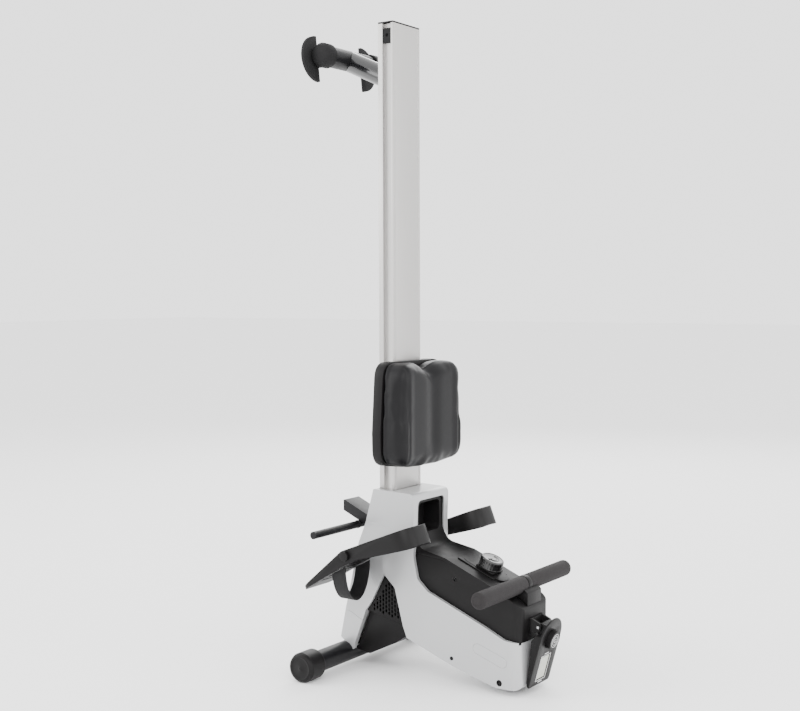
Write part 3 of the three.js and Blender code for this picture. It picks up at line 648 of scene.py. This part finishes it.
def add_tube(node, name, radius, weld_at=()):
    """A tube along Y with rolled ends, and a weld bead at each place listed in weld_at."""
    low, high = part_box(node)
    centre = (low + high) / 2
    length = (high.y - low.y) / MM
    profile = [(radius - 1, 0), (radius, 1)]
    for place in weld_at:
        profile += [(radius, place - 2.5), (radius + 1.1, place - 1.2), (radius + 1.1, place + 1.2),
                    (radius, place + 2.5)]
    profile += [(radius, length - 1), (radius - 1, length)]
    tube = turned(name, profile, (centre.x, low.y, centre.z), (0, 1, 0))
    return settle(tube, node)


for side_name, side in SIDES.items():
    add_stabiliser_cap(side_name, side)
add_tube("front_stabiliser_tube", "stabiliser_tube", 24.9)
add_tube("rear_foot_tube", "rear_cross_tube", 24.9)
add_tube("pedal_stop_bar", "pedal_rest_bar", 9, weld_at=(176, 238))
print("caps and tubes turned")

# %% Rear leg
def add_rear_leg():
    """The round leg starts at the rail's back face and ends on the cross tube."""
    leg = copy_node("rear_leg", "rear_leg_tube")
    return settle(leg, "rear_leg")


print("rear leg", len(add_rear_leg().data.polygons), "faces")

# %% [markdown]
# The grips are foam sleeves with a domed end. Between them sits the clip that the pull strap hooks into.

# %% Handle grips
def add_grip(side_name, side):
    node = f"{side_name}_grip"
    low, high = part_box(node)
    centre = (low + high) / 2
    length = (high.y - low.y) / MM
    radius = (high.x - low.x) / 2 / MM
    inner = low.y if side > 0 else high.y
    profile = [
        (radius - 1.6, 0), (radius - 0.4, 0.8), (radius, 2.4), (radius, length - 8),
        (radius - 0.4, length - 5),
        (radius - 1.6, length - 2.6), (radius - 3.6, length - 1.1), (radius - 6.5, length - 0.3),
        (radius - 7.6, length - 0.9), (radius - 8.6, length - 0.4), (4, length - 0.2), (0.3, length),
    ]
    grip = turned(f"{side_name}_foam_grip", profile, (centre.x, inner, centre.z), side_axis(side))
    settle(grip, node)
    return grip


for side_name, side in SIDES.items():
    add_grip(side_name, side)
print("two foam grips on the handle bar")

# %% [markdown]
# The tension knob is turned first, then gripped: every other strip of its rim is pushed in to make
# flutes, and its top carries a raised ring with a pointer, so that a hand can feel its setting. The
# joint in the record gives its place and tilt.

# %% Tension knob
JOINTS = {joint["name"]: joint for joint in frame["joints"]}
KNOB_RADIUS = 28.4
KNOB_FOOT = 9.7
KNOB_TOP = 33.4
FLUTE_DEPTH = 1.5


def place_on_axis(piece, origin, axis):
    turn = Vector(axis).to_track_quat("Z", "X").to_matrix().to_4x4()
    piece.matrix_world = Matrix.Translation(origin) @ turn
    apply_place(piece)


def add_knob():
    joint = JOINTS["tension_knob_turn"]
    profile = [
        (KNOB_RADIUS - 4, KNOB_FOOT), (KNOB_RADIUS, KNOB_FOOT + 0.6), (KNOB_RADIUS, KNOB_FOOT + 3),
        (KNOB_RADIUS - 0.6, KNOB_FOOT + 3.6), (KNOB_RADIUS - 0.8, KNOB_TOP - 5),
        (KNOB_RADIUS - 1.8, KNOB_TOP - 2), (KNOB_RADIUS - 4, KNOB_TOP - 0.6),
        (KNOB_RADIUS - 5.5, KNOB_TOP - 0.3), (KNOB_RADIUS - 6.2, KNOB_TOP - 1.3),
        (0.4, KNOB_TOP - 1.3),
    ]
    knob = turned("tension_knob_body", profile, (0, 0, 0), sides=96)
    activate(knob)
    bpy.ops.object.mode_set(mode="EDIT")
    pick_faces(knob, lambda c, n: abs(n.z) < 0.2 and c.z > (KNOB_FOOT + 4) * MM and c.z < (KNOB_TOP - 3) * MM
               and int(math.degrees(math.atan2(c.y, c.x)) / 3.75 + 96) % 4 < 2)
    bpy.ops.mesh.extrude_region_shrink_fatten(TRANSFORM_OT_shrink_fatten={"value": -FLUTE_DEPTH * MM})
    bpy.ops.object.mode_set(mode="OBJECT")
    round_edges(knob, 0.4, 2)
    place_on_axis(knob, joint["pos_m"], joint["axis"])
    return settle(knob, "tension_knob", "polished")


def add_ring(name, radius, thick, height, origin, axis, arc=1.0, start=0.0, segments=48):
    """A flat raised ring, or part of one, lying across an axis."""
    bpy.ops.object.select_all(action="DESELECT")
    bpy.ops.mesh.primitive_torus_add(
        major_radius=radius * MM, minor_radius=thick * MM, major_segments=segments, minor_segments=8)
    ring = bpy.context.object
    ring.name = name
    if arc < 1:
        edit(ring, lambda: delete_outside_arc(ring, start, arc))
    ring.location = (0, 0, height * MM)
    apply_place(ring)
    place_on_axis(ring, origin, axis)
    return ring


def delete_outside_arc(ring, start, arc):
    def outside(c, _):
        turn = (math.atan2(c.y, c.x) / (2 * math.pi) - start) % 1
        return turn > arc
    pick_faces(ring, outside)
    bpy.ops.mesh.delete(type="FACE")
    bpy.ops.mesh.select_all(action="SELECT")
    bpy.ops.mesh.fill_holes(sides=0)


def add_knob_marks():
    joint = JOINTS["tension_knob_turn"]
    marks = [
        add_ring(f"knob_arc_{i}", 14 - 4.5 * i, 0.55, KNOB_TOP - 1.2, joint["pos_m"], joint["axis"],
                 arc=0.62, start=0.19)
        for i in range(2)]
    corners = ((-1.1, 4, KNOB_TOP - 1.6), (1.1, 19, KNOB_TOP - 0.6))
    bar = block("knob_pointer", *(Vector(corner) * MM for corner in corners))
    round_edges(bar, 0.4, 2)
    place_on_axis(bar, joint["pos_m"], joint["axis"])
    return settle(join(marks[0], *marks[1:], bar), "tension_knob", "plastic", stands_for=False)


add_knob()
add_knob_marks()
print("knob with 24 flutes")

# %% [markdown]
# The seat is vinyl stretched over foam, and foam pushes back: so the cushion is blown up by the
# cloth solver. It starts from a copy of the plain solid, remeshed into even squares. Pressure swells
# it, and a cap on how far any point may travel sets most of its fullness. The valley, the dent at
# the top and the creases are then pressed in by moving points, and the back stays flat on the pan.

# %% Seat cushion
VOXEL = 0.0045
PRESSURE = 4
CLOTH_FRAMES = 20
MAX_TRAVEL = 0.006
START_SCALE = 0.985
START_DEPTH = 0.93
DENT_DROP = 0.015
BACK_DEPTH = 0.016
BACK_SPREAD = 1.03


def swell(piece):
    """Runs the cloth solver on a closed skin with air inside, then applies the result."""
    scene = bpy.context.scene
    homes = [vertex.co.copy() for vertex in piece.data.vertices]
    activate(piece)
    cloth = piece.modifiers.new("cloth", "CLOTH")
    cloth.settings.use_pressure = True
    cloth.settings.uniform_pressure_force = PRESSURE
    cloth.settings.effector_weights.gravity = 0
    for number in range(1, CLOTH_FRAMES + 1):
        scene.frame_set(number)
    bpy.ops.object.modifier_apply(modifier=cloth.name)
    scene.frame_set(1)
    for vertex, home in zip(piece.data.vertices, homes):
        travel = vertex.co - home
        if travel.length > MAX_TRAVEL:
            vertex.co = home + travel.normalized() * MAX_TRAVEL


def ramp(value, start, end):
    """A smooth step from 0 at start to 1 at end."""
    share = min(1, max(0, (value - start) / (end - start)))
    return share * share * (3 - 2 * share)


def bell(value, width):
    return math.exp(-(value / width) ** 2)


def seat_sink(side, up):
    """How far the sitting face lies below its crown: side is 0 at the middle line, up is 0 to 1."""
    basin = 4.5 * (1 - ramp(abs(side), 0.56, 0.80))
    valley = 5.5 * bell(side, 0.15) * ramp(up, 0.02, 0.30)
    rise = ramp(up, 0.76, 1.0)
    dent = 15 * rise * bell(side, 0.10 + 0.26 * rise)
    inner_crease = 2.2 * bell(abs(side) - 0.76, 0.028) * ramp(up, 0.05, 0.2)
    outer_crease = 2.6 * bell(abs(side) - 0.935, 0.022)
    return (basin + valley + dent + inner_crease + outer_crease) * MM


def add_cushion():
    low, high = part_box("seat_cushion")
    cushion = copy_node("seat_cushion", "seat_vinyl_cover")
    centre = (low + high) / 2
    edit(cushion, lambda: bpy.ops.transform.resize(
        value=(START_DEPTH, START_SCALE, START_SCALE), center_override=(low.x, centre.y, centre.z)))
    modify(cushion, "REMESH", mode="VOXEL", voxel_size=VOXEL)
    modify(cushion, "SMOOTH", factor=0.5, iterations=12)
    swell(cushion)
    modify(cushion, "SMOOTH", factor=0.5, iterations=10)
    modify(cushion, "SUBSURF", levels=1, render_levels=1)
    half = (high.y - low.y) / 2
    height = high.z - low.z
    for vertex in cushion.data.vertices:
        point = vertex.co
        front = ramp(point.x, low.x + 0.35 * (high.x - low.x), high.x - 0.012)
        side = (point.y - centre.y) / half
        up = (point.z - low.z) / height
        point.x -= front * seat_sink(side, up)
        point.z -= DENT_DROP * bell(side, 0.20) * ramp(up, 0.80, 1.0)
        point.x = max(point.x, low.x)
        spread = 1 + (BACK_SPREAD - 1) * (1 - ramp(point.x, low.x, low.x + BACK_DEPTH))
        point.y = min(high.y, max(low.y, centre.y + (point.y - centre.y) * spread))
        point.z = min(high.z, max(low.z, centre.z + (point.z - centre.z) * spread))
    modify(cushion, "SMOOTH", factor=0.5, iterations=2)
    settle(cushion, "seat_cushion")
    return cushion


print("seat cushion", len(add_cushion().data.polygons), "faces")

# %% [markdown]
# Each instep strap is flat webbing bent into a sling under the footplate. Its weave has to follow
# the bend, so it gets a map in metres: one way along the arc, the other way across the tape. A hem
# is sewn along both edges, and it is made as two thin raised bands.

# %% Instep straps
STRAP_INSET = 3
HEM = 6
HEM_RISE = 0.35


def add_metre_map(piece, centre, radius):
    """Maps a band that is bent round an axis along X: arc length one way, X the other."""
    layer = piece.data.uv_layers.new(name="UVMap")
    for loop in piece.data.loops:
        point = piece.data.vertices[loop.vertex_index].co
        turn = math.atan2(point.y - centre.y, centre.z - point.z)
        layer.data[loop.index].uv = (turn * radius, point.x)


def add_strap(side_name):
    node = f"{side_name}_instep_strap"
    low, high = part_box(node)
    strap = copy_node(node, f"{side_name}_instep_webbing")
    activate(strap)
    bpy.ops.object.mode_set(mode="EDIT")
    hems = ((low.x + STRAP_INSET * MM, low.x + HEM * MM), (high.x - HEM * MM, high.x - STRAP_INSET * MM))
    slice_at(strap, 0, [place for hem in hems for place in hem])
    centre = Vector((0, (low.y + high.y) / 2, high.z))
    for first, last in hems:
        pick_faces(strap, lambda c, n: first < c.x < last and abs(n.x) < 0.3
                   and n.dot(Vector((0, c.y - centre.y, c.z - centre.z))) > 0)
        bpy.ops.mesh.extrude_region_shrink_fatten(TRANSFORM_OT_shrink_fatten={"value": -HEM_RISE * MM})
    bpy.ops.object.mode_set(mode="OBJECT")
    round_edges(strap, 0.15, 1)
    add_metre_map(strap, centre, (high.z - low.z))
    return settle(strap, node)


for side_name in SIDES:
    add_strap(side_name)
print("two instep straps")

# %% [markdown]
# Seams and recesses are cut out of the rounded mouldings. A seam is a thin tube laid along a path
# and subtracted, so it leaves a round groove that shades like a real parting line.

# %% Grooves, recesses and holes
def path_tube(name, points, radius, closed=False):
    """A round bar along a path of points in metres."""
    curve = bpy.data.curves.new(name, "CURVE")
    curve.dimensions = "3D"
    curve.bevel_depth = radius * MM
    curve.bevel_resolution = 2
    curve.use_fill_caps = True
    spline = curve.splines.new("POLY")
    spline.points.add(len(points) - 1)
    for knot, point in zip(spline.points, points):
        knot.co = (*point, 1)
    spline.use_cyclic_u = closed
    bar = bpy.data.objects.new(name, curve)
    bpy.context.scene.collection.objects.link(bar)
    activate(bar)
    bpy.ops.object.convert(target="MESH")
    return bpy.context.object


def carve(piece, *cutters):
    cutter = join(*cutters)
    modify(piece, "BOOLEAN", operation="DIFFERENCE", object=cutter, solver="EXACT")
    bpy.data.objects.remove(cutter, do_unlink=True)
    smooth(piece)
    modify(piece, "WEIGHTED_NORMAL", keep_sharp=True)


RAIL_MIDDLE = middle("rail").x


def at(rail_x, z):
    """A point in the side plane, with X measured from the middle of the rail, in millimetres."""
    return RAIL_MIDDLE + rail_x * MM, z * MM


def side_path(side, depth, places):
    return [(x, side * depth * MM, z) for x, z in (at(*place) for place in places)]


def stadium(start, end, radius, steps=10):
    """The outline of a long round-ended slot between two centres."""
    lean = math.atan2(end[1] - start[1], end[0] - start[0])
    outline = []
    for centre, first in ((end, lean - math.pi / 2), (start, lean + math.pi / 2)):
        outline += [(centre[0] + radius * math.cos(first + math.pi * i / steps),
                     centre[1] + radius * math.sin(first + math.pi * i / steps)) for i in range(steps + 1)]
    return outline


SHELL_FACE = 75
SEAM = 0.8
SLOT_ENDS = ((262, 100), (326, 78))
SLOT_RADIUS = 12
ROUND_SEAM = ((-30, 260), 100)
ROUND_SEAM_SWEEP = (28, 100, 6)
SCREW_PLACE = (192, 66.5)
SCREW_RADIUS = 5
SCREW_DEPTH = 1.8


def detail_shell(side_name, side):
    shell = MADE[f"{side_name}_side_shell"]
    (round_x, round_z), round_radius = ROUND_SEAM
    turns = [math.radians(degrees) for degrees in range(*ROUND_SEAM_SWEEP)]
    arc = [
        (round_x + round_radius * math.cos(turn), round_z + round_radius * math.sin(turn))
        for turn in turns]
    x, z = at(*SCREW_PLACE)
    seat = (x, side * (SHELL_FACE - SCREW_DEPTH) * MM, z)
    hole = turned("screw_recess", [(SCREW_RADIUS, 0), (SCREW_RADIUS, 12)], seat, side_axis(side), 32)
    slot = side_path(side, SHELL_FACE, stadium(*SLOT_ENDS, SLOT_RADIUS))
    carve(shell, path_tube("slot_groove", slot, SEAM, True))
    carve(shell, path_tube("round_seam", side_path(side, SHELL_FACE + 0.3, arc), 0.6))
    carve(shell, hole)
    profile = [(SCREW_RADIUS - 0.4, 0), (SCREW_RADIUS - 0.5, 0.7), (2.6, 1.1), (1.9, 0.2), (0.3, 0.1)]
    head = turned(f"{side_name}_shell_screw", profile, seat, side_axis(side), 32)
    settle(head, f"{side_name}_vent_grille", "powder", stands_for=False)


NOTCH_CORNERS = ((3, 238.5), (34, 209.5), (57, 122.5), (-51, 144.5), (-33, 169.5))
HOLE_MARGIN = 7
HOLE_RADIUS = 4.3
HOLE_PITCH = (8.6, 13.8)
HOLE_START = (-55, 125)
HOLE_COLUMNS = 16
HOLE_ROWS = 12
ROW_SHARE = 0.72
HOLE_STRETCH = (0.72, 1.12, 1)


def inside_notch(x, z, margin):
    """True if a point is inside the vent's outline and clear of every edge by the margin."""
    corners = NOTCH_CORNERS
    for (x0, z0), (x1, z1) in zip(corners, corners[1:] + corners[:1]):
        along = math.hypot(x1 - x0, z1 - z0)
        if ((x1 - x0) * (z - z0) - (z1 - z0) * (x - x0)) / along > -margin:
            return False
    return True


def detail_vent(side_name):
    """Tall six-sided holes in offset rows."""
    low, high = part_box(f"{side_name}_vent_grille")
    cutters = []
    for row in range(HOLE_ROWS):
        for column in range(HOLE_COLUMNS):
            x = HOLE_START[0] + column * HOLE_PITCH[0]
            z = HOLE_START[1] + (row + column % 2 / 2) * HOLE_PITCH[1] * ROW_SHARE
            if inside_notch(x, z, HOLE_MARGIN):
                px, pz = at(x, z)
                bpy.ops.object.select_all(action="DESELECT")
                bpy.ops.mesh.primitive_cylinder_add(
                    vertices=6, radius=HOLE_RADIUS * MM, depth=12 * MM,
                    location=(px, (low.y + high.y) / 2, pz), rotation=(math.pi / 2, 0, 0))
                cutters.append(bpy.context.object)
                cutters[-1].scale = HOLE_STRETCH
                apply_place(cutters[-1])
    count = len(cutters)
    carve(MADE[f"{side_name}_vent_grille"], *cutters)
    return count


for side_name, side in SIDES.items():
    detail_shell(side_name, side)
    print(side_name, "vent holes", detail_vent(side_name))

# %% [markdown]
# The knob stands on a low raised pad, which is laid out level and then tilted onto the cover's slope
# along the knob's own axis.

# %% Top cover island
ISLAND = ((-34, -31, -1.5), (70, 31, 2.2))


def add_island():
    """A low raised pad that the knob's base stands on."""
    joint = JOINTS["tension_knob_turn"]
    island = block("cover_island", [v * MM for v in ISLAND[0]], [v * MM for v in ISLAND[1]])
    round_edges(island, 1.4, 3)
    place_on_axis(island, joint["pos_m"], joint["axis"])
    return settle(island, "top_cover", stands_for=False)


add_island()
print("island under the knob")

# %% [markdown]
# The monitor's plate leans back, so its details are laid out flat first, with X out of the face,
# and then turned and moved onto the hinge.

# %% Monitor details
TILT_AXIS = Vector(JOINTS["mode_button_press"]["axis"]).normalized()
OUTWARD = TILT_AXIS if TILT_AXIS.x > 0 else -TILT_AXIS
MONITOR_TURN = Matrix.Rotation(-math.atan2(OUTWARD.z, OUTWARD.x), 4, "Y")
HINGE = Vector(JOINTS["monitor_tilt"]["pos_m"])
FRAME_GAP = 3.2
FRAME_BAR = 0.8
MARK_BAR = 0.9
MARK_HALF = 9
MARK_GAP = 8
RING_RADII = (15.5, 10.5, 4.5)
RING_BAR = 0.5


def local_box(node):
    """A node's limits in the monitor's own directions."""
    to_local = (Matrix.Translation(HINGE) @ MONITOR_TURN).inverted()
    points = [to_local @ vertex.co for vertex in nodes[node].data.vertices]
    return [Vector([pick(p[i] for p in points) for i in range(3)]) for pick in (min, max)]


def onto_monitor(piece):
    piece.matrix_world = Matrix.Translation(HINGE) @ MONITOR_TURN
    apply_place(piece)


def add_display_frame():
    low, high = local_box("lcd")
    face = local_box("monitor_bezel")[1].x
    out = FRAME_GAP * MM
    corners = [(face, low.y - out, low.z - out), (face, high.y + out, low.z - out),
               (face, high.y + out, high.z + out), (face, low.y - out, high.z + out)]
    bars = [path_tube("display_frame", corners, FRAME_BAR, True)]
    for z in (low.z - MARK_GAP * MM, high.z + MARK_GAP * MM):
        bars.append(path_tube("display_bar", [(face, y * MM, z) for y in (-MARK_HALF, MARK_HALF)], MARK_BAR))
    frame_piece = join(*bars)
    onto_monitor(frame_piece)
    return settle(frame_piece, "monitor_bezel", "print", stands_for=False)


def add_button_rings():
    low, high = local_box("mode_button")
    centre = (low + high) / 2
    rings = []
    for radius in RING_RADII:
        points = [(high.x, radius * MM * math.cos(a), centre.z + radius * MM * math.sin(a))
                  for a in (math.pi * i / 20 for i in range(40))]
        rings.append(path_tube("button_ring", points, RING_BAR, True))
    rings_piece = join(*rings)
    onto_monitor(rings_piece)
    return settle(rings_piece, "mode_button", "print", stands_for=False)


add_display_frame()
add_button_rings()
print("display frame and button rings")

# %% [markdown]
# A footplate's tread is ribbed so that a shoe doesn't slip. With the machine stored on end the tread
# faces down. Its ribs are thin bars across the plate, sunk halfway into the face they stand on.

# %% Footplate ribs
RIB_RADIUS = 1.1
RIB_COUNT = 11
RIB_PITCH = 20
RIB_FIRST = 50
RIB_INSET = 16
LEVEL_ENOUGH = 0.5


def tread_height(node, x, y):
    """The height of the tread at one place, found by a ray from below."""
    piece = MADE[node]
    hit, place, _, _ = piece.ray_cast(Vector((x, y, 0)), Vector((0, 0, 1)))
    return place.z if hit else None


def add_ribs(side_name):
    node = f"{side_name}_footplate"
    low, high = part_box(node)
    inner, outer = low.y + RIB_INSET * MM, high.y - RIB_INSET * MM
    ribs = []
    for number in range(RIB_COUNT):
        x = low.x + (RIB_FIRST + number * RIB_PITCH) * MM
        ends = [(x, y, tread_height(node, x, y)) for y in (inner, outer)]
        if None not in (ends[0][2], ends[1][2]) and abs(ends[0][2] - ends[1][2]) < LEVEL_ENOUGH * MM:
            ribs.append(path_tube("tread_rib", ends, RIB_RADIUS))
    if ribs:
        settle(join(*ribs), node, stands_for=False)
    return len(ribs)


print({side_name: add_ribs(side_name) for side_name in SIDES}, "tread ribs")

# %% [markdown]
# The pull strap runs from its spool up to the handle. Its foot stays with the machine and its top follows
# the handle; here it is cut across into lengths, given a weave map and left off every moving body.

# %% Pull strap
def add_pull_strap():
    low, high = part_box("pull_strap")
    strap = copy_node("pull_strap", "pull_strap_webbing")
    edit(strap, lambda: slice_at(strap, 2, [low.z + (high.z - low.z) * step / 6 for step in range(1, 6)]))
    layer = strap.data.uv_layers.new(name="UVMap")
    for loop in strap.data.loops:
        point = strap.data.vertices[loop.vertex_index].co
        layer.data[loop.index].uv = (point.z, point.y)
    smooth(strap)
    strap.data.materials.clear()
    strap.data.materials.append(LOOKS["webbing"])
    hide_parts("pull_strap")
    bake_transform(strap)
    return strap


print("pull strap", len(add_pull_strap().data.polygons), "faces")
